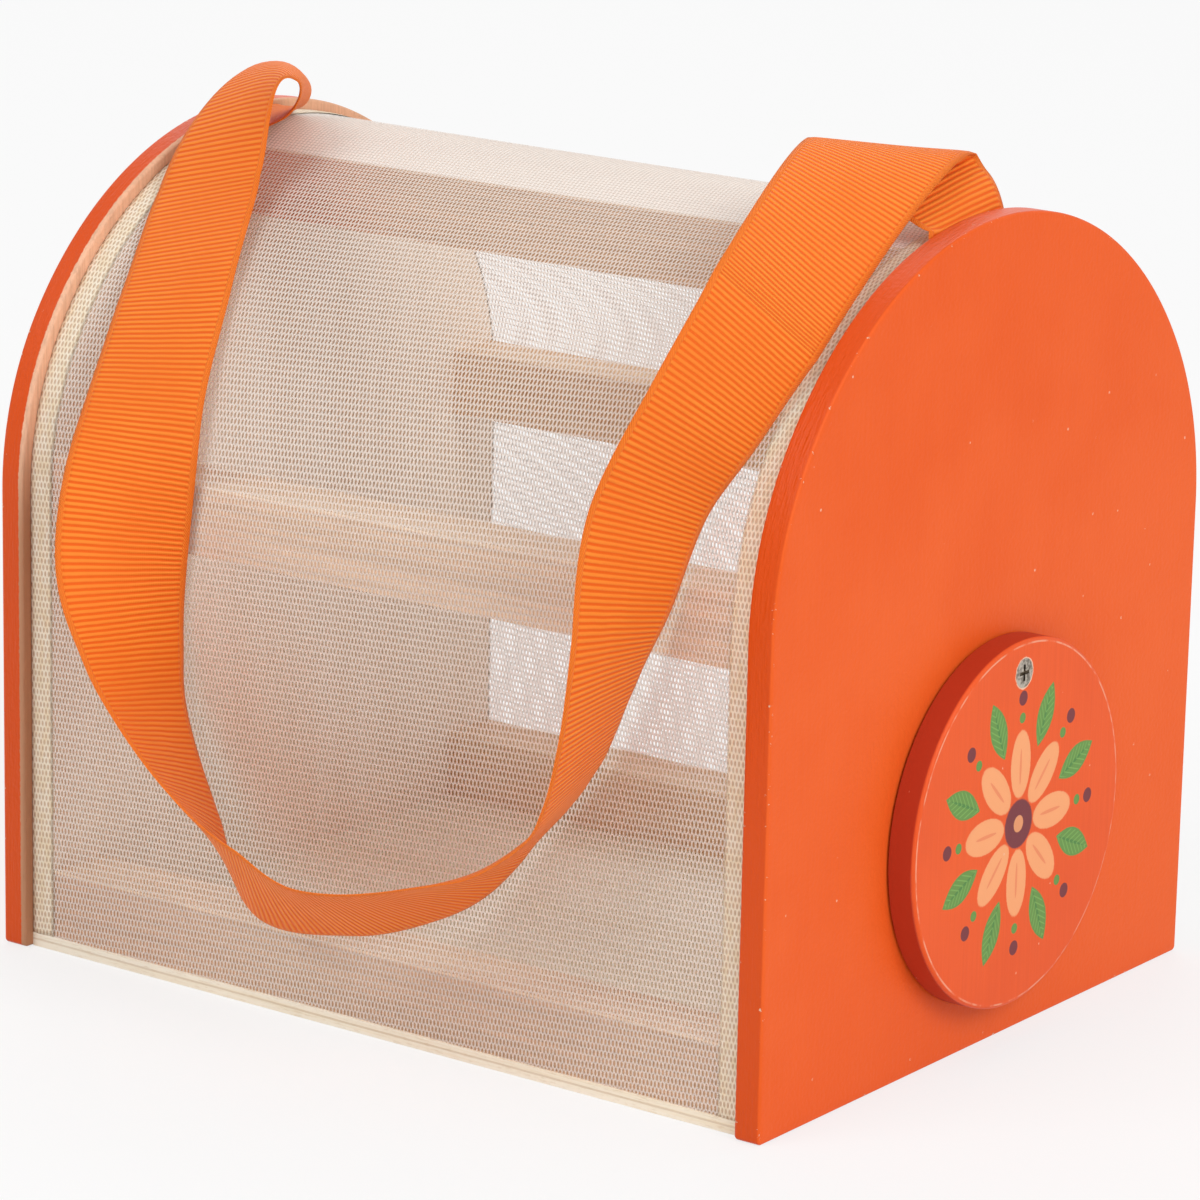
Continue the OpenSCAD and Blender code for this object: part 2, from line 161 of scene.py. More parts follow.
class Finish:
    """A material and its node tree, with a principled shader whose fixed sockets are set at once."""

    def __init__(self, name, **fixed):
        self.material = bpy.data.materials.new(name)
        self.material.use_nodes = True
        self.tree = self.material.node_tree
        self.shader = self.tree.nodes["Principled BSDF"]
        for socket, value in fixed.items():
            self.shader.inputs[socket.replace("_", " ")].default_value = value

    def node(self, kind, settings=None, inputs=None, output=0):
        """A new node: its settings, then the values or links of its sockets; returns one output."""
        made = self.tree.nodes.new(kind)
        for name, value in (settings or {}).items():
            setattr(made, name, value)
        for name, value in (inputs or {}).items():
            self.feed(made.inputs[name], value)
        return Value(self, made.outputs[output])

    def feed(self, socket, value):
        """Links a value to a socket, or sets the socket to a plain number or colour."""
        if isinstance(value, Value):
            self.tree.links.new(value.socket, socket)
        else:
            socket.default_value = value

    def place(self):
        """x, y and z on the piece, in millimetres."""
        point = self.node("ShaderNodeTexCoord", output="Object")
        parts = self.node("ShaderNodeSeparateXYZ", inputs={0: point})
        return [Value(self, parts.socket.node.outputs[i]) * 1000.0 for i in range(3)]

    def measured(self, name):
        """A number that the mesh carries at each of its points."""
        return self.node("ShaderNodeAttribute", {"attribute_name": name}, output="Fac")

    def point(self, x, y, z):
        return self.node("ShaderNodeCombineXYZ", inputs={0: x, 1: y, 2: z})

    def noise(self, at, scale, detail=2.0, roughness=0.5):
        """Cloudy noise about 0 to 1; scale is in patches per unit of the point it reads."""
        return self.node("ShaderNodeTexNoise", inputs={"Vector": at, "Scale": scale,
            "Detail": detail, "Roughness": roughness}, output="Fac")

    def mix(self, share, first, second):
        """Colour that is first at share 0 and second at share 1."""
        return self.node("ShaderNodeMix", {"data_type": "RGBA"},
            {"Factor": share, 6: first, 7: second}, 2)

    def bump(self, height, depth):
        """Roughens the surface by a height in units of depth metres."""
        self.feed(self.shader.inputs["Normal"], self.node("ShaderNodeBump", inputs={
            "Height": height, "Distance": depth, "Strength": 1.0}, output="Normal"))

    def show(self, **sockets):
        """Feeds the shader's sockets, such as Base_Color and Roughness."""
        for name, value in sockets.items():
            self.feed(self.shader.inputs[name.replace("_", " ")], value)
        return self.material

# %% [markdown]
# Nearly every new piece is a grid: rows and columns of points that a formula places. Numbering
# the points row by row gives every face at once, with no loop. A grid that closes on itself, as
# round a hole, joins its last row or column to its first.

# %% A mesh from a grid
def grid_faces(rows, columns, around=False, across=False):
    """Corner numbers of the faces of a grid, closed round its rows and across its columns if asked."""
    i = np.arange(rows if around else rows - 1)[:, None]
    j = np.arange(columns if across else columns - 1)[None, :]
    a, b = i * columns + j, i * columns + (j + 1) % columns
    c, d = (i + 1) % rows * columns + (j + 1) % columns, (i + 1) % rows * columns + j
    return np.stack([a, b, c, d], -1).reshape(-1, 4)


def piece(name, points, faces, finish, body="root", uv=None, numbers=None):
    """Makes a smooth mesh object from points in millimetres, with a UV map in millimetres too."""
    mesh = bpy.data.meshes.new(name)
    mesh.from_pydata((points.reshape(-1, 3) * MM).tolist(), [], [list(map(int, f)) for f in faces])
    mesh.polygons.foreach_set("use_smooth", np.ones(len(mesh.polygons), bool))
    if uv is not None:
        corners = np.zeros(len(mesh.loops), np.int32)
        mesh.loops.foreach_get("vertex_index", corners)
        layer = mesh.uv_layers.new(name="cloth")
        layer.data.foreach_set("uv", uv.reshape(-1, 2)[corners].astype(np.float32).ravel())
    for key, values in (numbers or {}).items():
        kept = mesh.attributes.new(key, "FLOAT", "POINT")
        kept.data.foreach_set("value", np.ascontiguousarray(values, np.float32).ravel())
    mesh.materials.append(finish)
    mesh.validate()
    made = bpy.data.objects.new(name, mesh)
    bpy.context.scene.collection.objects.link(made)
    if body:
        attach(made, body)
    print(f"{name}: {len(mesh.vertices)} points, {len(mesh.polygons)} faces")
    return made

# %% [markdown]
# The cage's outline is a three-centred arch: straight sides, a round shoulder on each and one
# wide crown. Moving it inwards keeps the three centres and shortens the three radii, which is
# why the boards, the net and the hems can all be drawn by one function.

# %% The arch
def half_outline(d, low, round_r, count):
    """(y, z) from the bottom's middle round the low corner, up the side and over to the crown.
    d is the distance inside the boards' outline, and round_r the radius of the low corner."""
    half = half_depth - d
    foot_r = max(round_r - d, 0.05)
    a = np.linspace(-np.pi / 2, 0, 7)
    foot = np.array([half - foot_r, low + d + foot_r]) + foot_r * np.stack(
        [np.cos(a), np.sin(a)], 1)
    side = np.stack([np.full(12, half), np.linspace(foot[-1, 1], side_high, 14)[1:-1]], 1)
    a = np.linspace(0, np.pi / 2 - meeting, count)
    bend = [shoulder_y, side_high] + (shoulder - d) * np.stack([np.cos(a), np.sin(a)], 1)
    a = np.linspace(meeting, 0, count)[1:]
    top = [0, crown_z] + (crown - d) * np.stack([np.sin(a), np.cos(a)], 1)
    base = np.stack([np.linspace(0, foot[0, 0], 9)[:-1], np.full(8, foot[0, 1])], 1)
    return np.concatenate([base, foot, side, bend, top])


def outline(d, low=0.0, round_r=corner, count=40):
    """The whole arch as a closed loop of (y, z), from the bottom's middle to the right and round."""
    half = half_outline(d, low, round_r, count)
    return np.concatenate([half, half[-2:0:-1] * [-1, 1]])


def over_the_arch(d, spacing):
    """(y, z) at even steps from the floor's front edge over the crown to its back edge, the unit
    vectors pointing outwards there, and the distance walked along the middle line of the net."""
    half = half_outline(d, floor_top, 0.0, 160)[15:]
    line = np.concatenate([[[-half_depth + d, floor_top]], half * [-1, 1], half[-2::-1],
        [[half_depth - d, floor_top]]])
    walked = np.concatenate([[0], np.cumsum(np.linalg.norm(np.diff(line, axis=0), axis=1))])
    at = np.linspace(0, walked[-1], int(walked[-1] / spacing) + 1)
    path = np.stack([np.interp(at, walked, line[:, k]) for k in (0, 1)], 1)
    along = np.gradient(path, axis=0)
    outward = np.stack([-along[:, 1], along[:, 0]], 1)
    return path, outward / np.linalg.norm(outward, axis=1)[:, None], at


path_now, out_now, walked_now = over_the_arch(inset - net_thick / 2, 1.0)
print(f"the net is {walked_now[-1]:.1f} mm long over the arch")

# %% [markdown]
# The lighting is a plain soft studio: one large lamp to the right of the camera, a weaker one in
# front, and a pale world. The floor and the world look white to the camera and to mirrors only,
# so the object isn't bathed in light to make its background white.

# %% Studio
def seen(tree):
    """1 for rays from the camera, a mirror or glass, and 0 for the light that falls on things."""
    path = tree.nodes.new("ShaderNodeLightPath")
    best = None
    for name in ("Is Camera Ray", "Is Glossy Ray", "Is Transmission Ray"):
        if best is None:
            best = path.outputs[name]
            continue
        most = tree.nodes.new("ShaderNodeMath")
        most.operation = "MAXIMUM"
        tree.links.new(best, most.inputs[0])
        tree.links.new(path.outputs[name], most.inputs[1])
        best = most.outputs[0]
    return best


world = bpy.data.worlds.new("studio")
bpy.context.scene.world = world
world.use_nodes = True
sky = world.node_tree.nodes["Background"]
sky.inputs["Color"].default_value = (1.0, 1.0, 1.0, 1.0)
strength = world.node_tree.nodes.new("ShaderNodeMapRange")
strength.inputs["To Min"].default_value = 0.56
strength.inputs["To Max"].default_value = 1.0
world.node_tree.links.new(seen(world.node_tree), strength.inputs["Value"])
world.node_tree.links.new(strength.outputs["Result"], sky.inputs["Strength"])

floor_finish = Finish("studio_floor", Base_Color=(0.86, 0.86, 0.86, 1.0), Roughness=0.9)
glow = floor_finish.node("ShaderNodeEmission", inputs={"Color": (1, 1, 1, 1), "Strength": 1.0})
blend = floor_finish.node("ShaderNodeMixShader", inputs={
    0: Value(floor_finish, seen(floor_finish.tree)) * 0.72,
    1: Value(floor_finish, floor_finish.shader.outputs[0]), 2: glow})
floor_finish.tree.links.new(blend.socket, floor_finish.tree.nodes["Material Output"].inputs[0])
span = np.array([[-5000.0, -5000.0, -0.05], [5000.0, -5000.0, -0.05], [5000.0, 5000.0, -0.05],
    [-5000.0, 5000.0, -0.05]])
studio_floor = piece("studio_floor", span, [[0, 1, 2, 3]], floor_finish.material, body=None)


def lamp(name, place, size, power):
    """A square area lamp at a place in metres, facing the middle of the cage."""
    data = bpy.data.lights.new(name, "AREA")
    data.size, data.energy = size, power
    made = bpy.data.objects.new(name, data)
    made.location = place
    made.rotation_euler = (Vector((0, 0, 0.08)) - Vector(place)).to_track_quat("-Z", "Y").to_euler()
    bpy.context.scene.collection.objects.link(made)


lamp("key_lamp", (1.45, -0.40, 1.10), 0.9, 13.5)
lamp("front_lamp", (-0.45, -1.35, 1.55), 1.0, 11.0)
lamp("back_lamp", (-0.9, 1.2, 1.3), 1.0, 6.0)

# %% [markdown]
# The end boards are painted with a thin satin orange that lets the wood's fine upright fibres
# show. Along the edges the brush left the coat thin, so small chips show pale wood. The mesh
# carries how far each point is from the nearest edge, and whether it is on the bare inner face.

# %% Painted wood
def fibres(finish, x, y, z, along, pitch=0.55):
    """Fine lines along one axis ("x", "y" or "z"), about 0 to 1, pitch millimetres apart."""
    stretch = {name: 0.018 if name == along else 1.0 for name in "xyz"}
    at = finish.point(x * stretch["x"], y * stretch["y"], z * stretch["z"])
    return finish.noise(at, 1 / pitch, 3.0, 0.6)


def bare_wood(finish, x, y, z, along, pale, dark, pitch=0.7):
    """Colour and fibre pattern of planed pale wood whose grain runs along one axis."""
    lines = fibres(finish, x, y, z, along, pitch)
    broad = {name: 0.006 if name == along else 0.11 for name in "xyz"}
    cloud = finish.noise(finish.point(x * broad["x"], y * broad["y"], z * broad["z"]), 1.0, 3.0)
    share = (lines.step(0.38, 0.68) * 0.55 + cloud.step(0.32, 0.7) * 0.6).low(1.0)
    return finish.mix(share, tone(*pale), tone(*dark)), lines


def painted(name, coat, deep, wood, spots):
    """Satin paint on wood, from the mesh's own numbers "edge" (millimetres from an edge) and
    "bare" (1 where there is no paint). spots is how many chips the edges have."""
    finish = Finish(name, Specular_IOR_Level=0.22)
    x, y, z = finish.place()
    edge, bare = finish.measured("edge"), finish.measured("bare")
    lines = fibres(finish, x, y, z, "z", 0.5)
    cloud = finish.noise(finish.point(x, y, z), 0.03, 3.0)
    # Higher up, from 70 mm towards the crown, the coat turns towards the deep tone: painted shade.
    share = cloud.step(0.35, 0.7) * 0.4 + lines.step(0.35, 0.7) * 0.12 + z.step(70.0, 165.0) * 0.5
    colour = finish.mix(share, tone(*coat), tone(*deep))
    grain = finish.noise(finish.point(x, y, z), 0.9, 4.0, 0.7)
    peel = finish.noise(finish.point(x, y, z), 1.1, 2.0, 0.45)
    chip = (grain - edge * 0.16).step(spots, spots + 0.03)
    dots = finish.node("ShaderNodeTexVoronoi", inputs={"Vector": finish.point(x, y, z),
        "Scale": 0.16, "Randomness": 1.0}, output="Distance")
    speck = dots.step(0.055, 0.03) * grain.step(0.45, 0.55)
    pale, wood_lines = bare_wood(finish, x, y, z, "z", wood, [c * 0.86 for c in wood])
    # The bare strip turns browner low down, and darker and pinker at the crown: both tints are painted shade.
    painted_low_shade = z.step(105.0, 80.0) * 0.75
    pale = finish.mix(painted_low_shade, pale, tone(176, 122, 86))
    pale = finish.mix(z.step(135.0, 155.0) * 0.5, pale, tone(214, 158, 124))
    inwards = abs(x) - inner_face
    rim = inwards.step(panel - 0.2, panel - 0.6)
    # The edges take a deeper, redder colour: partly the thicker coat that edge grain soaks up, partly painted shade.
    colour = finish.mix(rim * 0.8, colour, tone(deep[0] * 0.93, deep[1] * 0.88, 6))
    bare = ((inwards + (grain - 0.5) * 0.7).step(1.25, 1.0) * x.step(0.0, -1.0)).high(bare)
    colour = finish.mix((chip + speck * 0.8).low(1.0), colour, tone(238, 205, 178))
    colour = finish.mix(bare, colour, pale)
    streaks = finish.noise(finish.point(x * 2.4, y * 0.25, z * 0.25), 1.0, 2.0)
    finish.bump(peel * 1.3 + lines * 0.1 + streaks * rim * 2.0 - chip * 0.6 + wood_lines * bare * 0.6, 0.00008)
    rough = 0.46 + grain * 0.1 - rim * 0.12
    return finish.show(Base_Color=colour, Roughness=rough + bare * 0.3 + chip * 0.2)


board_paint = painted("board_paint", (238, 99, 35), (229, 84, 4), (252, 196, 160), 0.64)

# %% [markdown]
# A board is the outline carried round its thickness: from the middle of the inner face out to
# the edge, over a small rounding, across the edge, over another rounding and back to the middle
# of the outer face. On the right board the loops end on the round entry hole instead, and its
# wall joins the two faces. On the inner face the paint stops a little before the corner.

# %% The painted end boards
def towards_ring(loop, centre, radius, shares):
    """Loops between an outline and a circle round a centre; each point moves straight to the
    circle's point in its own direction, by each of the shares from 0 to 1."""
    way = loop - centre
    ring = centre + radius * way / np.linalg.norm(way, axis=1)[:, None]
    return [loop + s * (ring - loop) for s in shares]


def end_board(name, side, centre, radius, hollow):
    """A board on the side -1 or 1, whose faces close on a circle that is open if hollow."""
    soft = 0.5
    turns = np.linspace(0, np.pi / 2, 5)
    shares = np.linspace(0, 1, 9)[1:]
    loops, x, edge, bare = [], [], [], []

    def add(loop, at, how_near, unpainted):
        loops.append(loop), x.append(at), edge.append(how_near), bare.append(unpainted)

    for ring in towards_ring(outline(1.4), centre, radius, shares[::-1]):
        add(ring, inner_face, 6.0, 1.0)
    add(outline(1.4), inner_face, 1.4, 1.0)
    add(outline(0.85), inner_face, 0.85, 1.0)
    add(outline(0.7), inner_face, 0.7, 0.0)
    for t in turns:
        add(outline(soft - soft * np.sin(t)), inner_face + soft - soft * np.cos(t), 0.0, 0.0)
    for share, near in ((0.15, 0.7), (0.5, 2.2), (0.85, 0.7)):
        add(outline(0.0), inner_face + soft + share * (panel - 2 * soft), near, 0.0)
    for t in turns[::-1]:
        add(outline(soft - soft * np.sin(t)), half_length - soft + soft * np.cos(t), 0.0, 0.0)
    add(outline(1.4), half_length, 1.4, 0.0)
    for ring in towards_ring(outline(1.4), centre, radius, shares):
        add(ring, half_length, 6.0, 0.0)
    edge[-1] = 0.6 if hollow else 6.0
    flat = np.stack(loops)
    count = flat.shape[1]
    points = np.concatenate([np.repeat(np.array(x)[:, None], count, 1)[..., None], flat], -1)
    faces = grid_faces(len(loops), count, around=hollow, across=True)
    if not hollow:
        last = (len(loops) - 1) * count
        faces = [*faces, np.arange(count)[::-1], last + np.arange(count)]
    points[..., 0] *= side
    if side > 0:
        faces = [f[::-1] for f in faces]
    return piece(name, points, faces, board_paint,
        numbers={"edge": np.repeat(edge, count), "bare": np.repeat(bare, count)})


left_board = end_board("left_end_board", -1, np.array([0.0, 75.0]), 1.0, False)
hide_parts("left_end_panel")
right_board = end_board("right_end_board", 1, np.array([1.5, 43.9]), 22.5, True)
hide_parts("right_end_panel")

# %% [markdown]
# The inner frame is bare wood: two arched plates, the floor board and five rails. Their shapes
# are right as they come from the drawing, so they only get their finishes: planed pale wood with
# the grain along each stick, and for the floor board thin plies with a darker glue line.

# %% Bare wood
def planed(name, along, pale, dark, pitch=0.7, painted_side_shade=None, top=0.0, ribbon_bounce=0.0):
    """Planed wood. A bar's sides below its top face, at the height top, can take a browner colour as painted shade,
    and their left end an orange tint by a share, as a painted reflection of the ribbon's light."""
    finish = Finish(name, Specular_IOR_Level=0.3)
    x, y, z = finish.place()
    colour, lines = bare_wood(finish, x, y, z, along, pale, dark, pitch)
    if painted_side_shade:
        # Below the top face the sides turn browner: painted shade.
        sides = z.step(top - 0.3, top - 0.6)
        colour = finish.mix(sides * 0.8, colour, finish.mix(lines.step(0.3, 0.75), tone(*painted_side_shade),
            tone(*[c * 0.86 for c in painted_side_shade])))
        # The left end of the sides takes an orange tint: a painted reflection of the light that the ribbon throws
        # there.
        colour = finish.mix(sides * x.step(-25.0, -75.0) * ribbon_bounce, colour, tone(214, 104, 60))
    pores = finish.noise(finish.point(x, y, z), 1.6, 3.0, 0.6)
    finish.bump(lines * 0.7 + pores * 0.3, 0.00008)
    return finish.show(Base_Color=colour, Roughness=0.58 + lines * 0.15)


def plywood(name):
    """The floor board: plies across its thickness, seen on the edges, and fine grain on its faces."""
    finish = Finish(name, Specular_IOR_Level=0.3)
    x, y, z = finish.place()
    colour, lines = bare_wood(finish, x, y, z, "x", (255, 247, 230), (246, 232, 204), 0.5)
    waver = finish.noise(finish.point(x * 0.05, y * 0.05, z * 0.3), 1.0, 2.0)
    ply = abs(z + waver * 0.25 - 1.55)
    glue = ply.step(0.28, 0.1) * 0.35
    on_edge = abs(y).step(69.3, 69.7)
    colour = finish.mix(glue * on_edge, colour, tone(180, 140, 90))
    fuzz = finish.noise(finish.point(x * 0.3, y, z * 2.0), 1.4, 4.0, 0.7)
    colour = finish.mix(fuzz.step(0.5, 0.75) * 0.35, colour, tone(196, 160, 112))
    finish.bump(lines * 0.5 + fuzz * 0.8, 0.0001)
    return finish.show(Base_Color=colour, Roughness=0.6 + fuzz * 0.15)


def dress(finish, *names):
    """Gives drawn nodes their finish."""
    for name in names:
        nodes[name].data.materials.clear()
        nodes[name].data.materials.append(finish)


dress(planed("plate_wood", "z", (254, 240, 224), (246, 226, 204)),
    "left_inner_plate", "right_inner_plate")
dress(planed("rail_wood", "x", (246, 216, 182), (228, 186, 146)),
    "back_bottom_rail", "back_middle_rail")
# Each front rail gets its own browner side colour, which is painted shade, and a share of painted orange reflection
# from the ribbon.
for rail, rail_shade_tone, ribbon_bounce in (("front_bottom_rail", (220, 176, 138), 0.1),
        ("front_middle_rail", (236, 200, 164), 0.25), ("top_rail", (216, 170, 130), 0.6)):
    rail_top = float(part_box(rail)[1][2]) / MM
    dress(planed(rail + "_wood", "x", (254, 232, 206), (240, 208, 174), 0.8,
        rail_shade_tone, rail_top, ribbon_bounce), rail)
dress(plywood("floor_plywood"), "floor_board")

# %% [markdown]
# The net is one stretched piece of fine knitted mesh. Its holes are about half a millimetre wide
# and a little taller, in rows that are shifted by half a hole, and pale threads between them. To
# model each hole would take a hundred thousand of them, so the sheet is plain and the shader
# cuts the holes by its alpha. The cloth's own millimetres come from its UV map.

# %% Net
def cell(u, v):
    """Place inside one cell of the net, from -0.5 to 0.5 each way. Every second row is shifted
    by half a cell, and the rows climb a little because the net was stretched askew."""
    row = (v - u * 0.066) / 1.247
    shift = (row.floor() % 2.0) * 0.5
    return (u / 0.835 + shift) % 1.0 - 0.5, row % 1.0 - 0.5


def net_finish():
    finish = Finish("knitted_net", Roughness=0.75, Specular_IOR_Level=0.25)
    cloth = finish.node("ShaderNodeUVMap", {"uv_map": "cloth"})
    parts = finish.node("ShaderNodeSeparateXYZ", inputs={0: cloth})
    u, v = (Value(finish, parts.socket.node.outputs[i]) for i in (0, 1))
    a, b = cell(u, v)
    hole = ((a / 0.31) ** 2.0 + (b / 0.46) ** 2.0).root()
    worn = finish.noise(finish.point(u, v, 0.0), 0.06, 2.0)
    thread = hole.step(0.72, 1.15)
    # Over the top rail at the crown the threads are drawn denser and whiter; the whiter colour is a painted highlight.
    crown_highlight_band = abs(v - walked_now[-1] / 2).step(19.0, 18.2)
    colour = finish.mix(worn * 0.6, tone(246, 236, 228), tone(236, 220, 208))
    colour = finish.mix(crown_highlight_band * 0.7, colour, tone(250, 243, 237))
    finish.bump(hole.low(1.6), 0.00008)
    return finish.show(Base_Color=colour, Alpha=(thread * 0.7).high(crown_highlight_band * (0.52 + thread * 0.36)))


def net_sheet():
    """The net as a grid: columns along the cage and rows over the arch. Between the plates it
    sinks a little, by the product of two half waves, one along the cage and one between rails."""
    reach = inner_face - 1.7
    path, outward, walked = over_the_arch(inset - net_thick / 2, 1.6)
    x = np.linspace(-reach, reach, 93)
    share = (x / reach + 1) / 2
    span = np.clip(np.sin(np.pi * share), 0, 1) ** 0.6
    sink = 0.35 * span[None, :] * np.abs(np.sin(np.pi * walked / walked[-1] * 4))[:, None]
    flat = path[:, None, :] - outward[:, None, :] * sink[..., None]
    points = np.concatenate([np.broadcast_to(x[None, :, None], (*sink.shape, 1)), flat], -1)
    uv = np.stack(np.broadcast_arrays(x[None, :] + 100.0, walked[:, None]), -1)
    faces = grid_faces(len(path), len(x))
    net = piece("net", points, faces[:, ::-1], net_finish(), uv=uv)
    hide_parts("net_screen")
    return net


net = net_sheet()

# %% [markdown]
# A cream band hems the net where it is stapled over each plate. It is a flat tube: a rounded
# cross-section carried over the arch. Where the ribbon comes out of its slot the band is cut
# narrower by the slot's depth.

# %% Hem bands
def hem_finish():
    finish = Finish("hem_weave", Roughness=0.8, Specular_IOR_Level=0.2)
    cloth = finish.node("ShaderNodeUVMap", {"uv_map": "cloth"})
    parts = finish.node("ShaderNodeSeparateXYZ", inputs={0: cloth})
    u, v = (Value(finish, parts.socket.node.outputs[i]) for i in (0, 1))
    a, b = cell(u, v)
    pit = ((a / 0.29) ** 2.0 + (b / 0.44) ** 2.0).root().step(1.15, 0.6)
    fray = finish.noise(finish.point(u, v * 0.3, 0.0), 0.8, 3.0)
    colour = finish.mix(fray.step(0.35, 0.7), tone(246, 234, 214), tone(240, 222, 192))
    colour = finish.mix(pit * 0.75, colour, tone(204, 170, 136))
    finish.bump(fray * 0.5 - pit, 0.00015)
    from_plate = abs(u - 100.0) - (inner_face - 6.0)
    return finish.show(Base_Color=colour, Alpha=(from_plate + (fray - 0.5) * 0.6).step(0.5, 1.5))


hem_weave = hem_finish()


def hem_band(name, side, slot_y):
    """A band 6 mm wide on the net at one end, thin and with rounded edges."""
    path, outward, walked = over_the_arch(inset - net_thick / 2, 1.2)
    cut = np.abs(path[:, 0] - slot_y) < ribbon_wide / 2 + 0.15
    cut &= path[:, 1] > side_high
    reach = np.where(cut, inner_face - 1.75, inner_face - 0.08)
    a = np.linspace(0, 2 * np.pi, 17)[:-1]
    low = inner_face - 6.0
    wide = (reach - low)[:, None]
    shape_x = np.sign(np.cos(a)) * np.minimum(np.abs(np.cos(a)) * 1.6, 1) ** 1.0
    x = low + wide / 2 + (wide / 2 - 0.02) * shape_x[None, :]
    taper = np.clip((x - low) / 2.4, 0.08, 1.0)
    lift = 0.02 + (0.12 + 0.2 * np.sin(a)[None, :]) * taper
    flat = path[:, None, :] + outward[:, None, :] * lift[..., None]
    points = np.concatenate([side * x[..., None], flat], -1)
    uv = np.stack([side * x + 100.0, np.broadcast_to(walked[:, None], x.shape)], -1)
    count = len(a)
    faces = grid_faces(len(path), count, across=True)
    last = (len(path) - 1) * count
    faces = [*faces, np.arange(count)[::-1], last + np.arange(count)]
    if side < 0:
        faces = [f[::-1] for f in faces]
    band = piece(name, points, faces, hem_weave, uv=uv)
    return band


left_hem = hem_band("left_hem", -1, -9.0)
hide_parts("left_hem_tape")
right_hem = hem_band("right_hem", 1, -5.0)
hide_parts("right_hem_tape")

# %% [markdown]
# The handle is one ribbed ribbon. At each end it comes up out of a slot, lies over the hem for a
# moment and turns over in a slanting fold, an open roll on the left and a flat one on the right.
# Between them it hangs in front of the net and turns over once. Both folds are worked out as a
# sheet that winds round a roll, and the hanging part as a smooth curve through a few stations.

# %% The folds at the ribbon's ends
slot_x = inner_face - 0.1 - ribbon_thick / 2


def share_out(pair, share):
    """A number that goes evenly from one edge of the ribbon to the other."""
    return pair[0] + (pair[1] - pair[0]) * share


def folded(end, x, v):
    """Place of the ribbon x mm from its slot and v mm across. Up to a slanting line it is a sheet
    that rises gently; past the line it winds round a roll and comes back above itself."""
    share, slant = v / ribbon_wide, np.radians(end["slant"])
    radius, lift, slope, soft = (share_out(end[k], share) for k in ("radius", "lift", "slope", "soft"))
    past = (x - end["begin"]) * np.cos(slant) - v * np.sin(slant)
    along = (x - end["begin"]) * np.sin(slant) + v * np.cos(slant)
    wound = np.clip(past / radius, 0, np.pi)
    rest = np.maximum(past - np.pi * radius, 0)
    out = np.where(past < 0, past, radius * np.sin(wound) + wound * radius - past)
    run = end["begin"] + along * np.sin(slant) + out * np.cos(slant)
    y = end["tail_y"] + ribbon_wide / 2 - along * np.cos(slant) + out * np.sin(slant)
    on_hem = crown_z + np.sqrt((crown - inset + 1.0) ** 2 - y ** 2) + 0.3 + ribbon_thick / 2
    z = (on_hem + lift * (1 - np.exp(-run / 2.4)) + slope * (np.sqrt(run ** 2 + soft ** 2) - soft)
        + radius * (1 - np.cos(wound)) + end["hump"] * 4 * share * (1 - share) * wound / np.pi)
    return np.stack([end["side"] * (slot_x - run), y, z - rest ** 2 / 120], -1)


def end_rows(end, v):
    """Rows of one end from deep in the slot to where its fold ends, and their lengths. These are
    walked along each thread both ways from the slanting line, as the sheet rises steeply there."""
    slant = np.radians(end["slant"])
    first = end["begin"] + v * np.tan(slant)
    over = np.pi * share_out(end["radius"], v / ribbon_wide) / np.cos(slant)
    lengths = np.concatenate([
        np.linspace(0, 1, 22)[:-1, None] ** 1.5 * first[None, :],
        first[None, :] + over * np.linspace(0, end["turned"], 29)[:, None]])
    rows = folded(end, lengths, v[None, :])
    walked = np.cumsum(np.linalg.norm(np.diff(rows, axis=0), axis=2), axis=0)
    walked = np.concatenate([0 * walked[:1], walked])
    lengths = first + walked - walked[21]
    down = np.linspace(-9.0, 0, 7)[:-1]
    slot = np.repeat(rows[:1], len(down), 0)
    slot[..., 2] = height - inset - 9.0 + (slot[..., 2] - height + inset + 9.0) * (down[:, None] + 9) / 9
    return np.concatenate([slot, rows]), np.concatenate([down[:, None] + lengths[:1], lengths])


left_end = dict(side=-1, tail_y=-9.0, slant=34.0, begin=4.6, turned=0.68, hump=1.1,
    radius=(3.1, 4.0), lift=(-0.3, -0.3), slope=(0.87, 0.87), soft=(28.0, 28.0))
right_end = dict(side=1, tail_y=-5.0, slant=38.0, begin=3.9, turned=0.89, hump=-0.2,
    radius=(1.05, 1.35), lift=(8.25, 0.0), slope=(0.42, 0.5), soft=(8.4, -2.0))

# %% [markdown]
# Each station of the hanging part gives five numbers: the place along the cage in millimetres;
# the way down the net, 0 at the crown, 1 where the straight sides begin and 2 on the ground; how
# far the nearer edge stands off the net in millimetres; and where the line across the ribbon
# points in degrees, first turned within the net's surface from the cage's length, then tipped
# out of it. The stations come from a fit of the ribbon's outline to the photograph, thinned out
# and rounded to half millimetres and whole degrees. So do the two folds' values.

# %% The hanging part
strap_stations = (
    (-67.5, 0.300, 3.0, 13, 6),
    (-66.5, 0.350, 1.0, 9, 4),
    (-59.5, 0.560, 0.5, -23, -1),
    (-54.5, 0.810, 1.0, -17, -16),
    (-52.5, 1.055, 1.0, 25, -41),
    (-47.0, 1.240, 1.0, 52, -66),
    (-40.5, 1.370, 2.5, 98, -72),
    (-28.5, 1.515, 6.0, 110, -59),
    (-14.0, 1.645, 11.5, 107, -38),
    (3.0, 1.675, 7.0, 91, -55),
    (21.0, 1.625, 4.0, 117, -57),
    (36.0, 1.530, 6.5, 143, -31),
    (49.0, 1.410, 3.5, 147, -44),
    (56.0, 1.305, 1.0, 152, -69),
    (61.5, 1.140, 1.0, 178, -83),
    (65.0, 0.985, 0.5, -59, -79),
    (67.5, 0.795, 0.5, -40, -63),
    (74.0, 0.625, 1.0, -9, -67),
    (76.5, 0.480, 1.5, -16, -59),
    (75.0, 0.370, 3.0, -15, -37),
)


def unit(v):
    return v / np.linalg.norm(v, axis=-1, keepdims=True)


